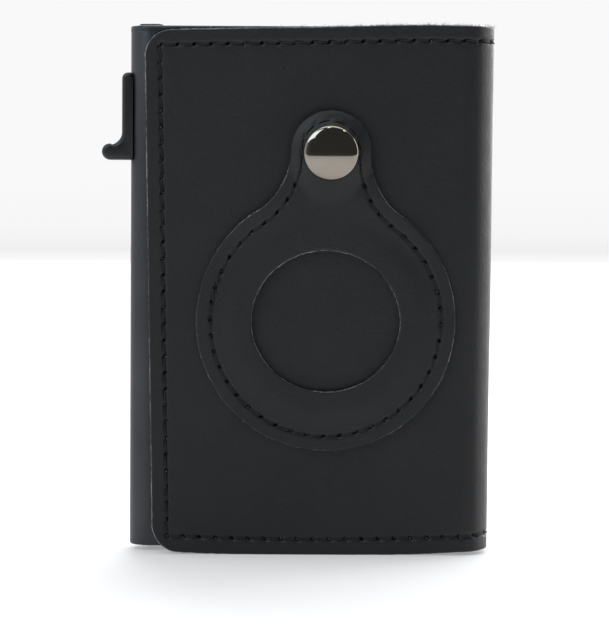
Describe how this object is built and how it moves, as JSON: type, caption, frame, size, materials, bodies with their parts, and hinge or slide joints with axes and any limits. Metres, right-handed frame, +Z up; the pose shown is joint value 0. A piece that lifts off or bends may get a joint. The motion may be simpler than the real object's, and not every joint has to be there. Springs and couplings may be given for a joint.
{
  "type": "card wallet with tracker pocket",
  "caption": "Upright leather wallet wrapped round a metal card case with a side thumb lever; a snap flap closes a round pocket for a tracker tag on its cover.",
  "frame": {"origin": "under the middle of the bounding box, on the surface that the wallet stands on", "axes": "+Z up along the cards, the front cover with the tracker pocket faces -Y, the spine is at +X and the thumb lever at -X"},
  "size_m": [0.0744, 0.0252, 0.101],
  "materials": {
    "leather": "black smooth leather, soft sheen",
    "lining": "black matt lining",
    "board": "pressed fibre board, hidden",
    "pad": "adhesive foam, hidden",
    "case_metal": "black bead-blasted anodised",
    "plastic": "black, satin",
    "nylon": "black, matt",
    "felt": "dark grey felt",
    "steel": "zinc plated",
    "snap_metal": "polished gunmetal plating"
  },
  "bodies": {
    "case_and_back": {"back_leather": "leather", "back_lining": "lining", "case_pad": "pad", "case_shell": "case_metal", "end_plug": "plastic", "card_brake_front": "felt", "card_brake_back": "felt", "keeper_plate": "steel"},
    "ejector": {"step_pusher": "nylon", "thumb_lever": "plastic", "lever_screw_lower": "steel", "lever_screw_upper": "steel"},
    "spine": {"spine_leather": "leather", "spine_lining": "lining"},
    "front_cover": {"front_leather": "leather", "front_board": "board", "front_lining": "lining", "closing_magnet_lower": "steel", "closing_magnet_upper": "steel", "card_pocket_upper": "lining", "card_pocket_lower": "lining", "tracker_pocket": "leather", "snap_stud": "snap_metal", "stud_post": "steel"},
    "flap": {"pocket_flap": "leather", "flap_patch": "lining", "snap_cap": "snap_metal", "snap_socket": "snap_metal"}
  },
  "joints": [
    {"name": "ejector_slide", "type": "slide", "parent": "case_and_back", "child": "ejector", "axis": [0, 0, -1], "range_m": [0, 0.02]},
    {"name": "back_fold", "type": "hinge", "parent": "case_and_back", "child": "spine", "pos_m": [0.03586, 0.01131, 0], "axis": [0, 0, 1], "range_deg": [0, 90]},
    {"name": "front_fold", "type": "hinge", "parent": "spine", "child": "front_cover", "pos_m": [0.03586, -0.00491, 0], "axis": [0, 0, 1], "range_deg": [0, 90]},
    {"name": "flap_fold", "type": "hinge", "parent": "front_cover", "child": "flap", "pos_m": [0.0057, -0.0088, 0.0528], "axis": [1, 0, 0], "range_deg": [0, 140]}
  ]
}
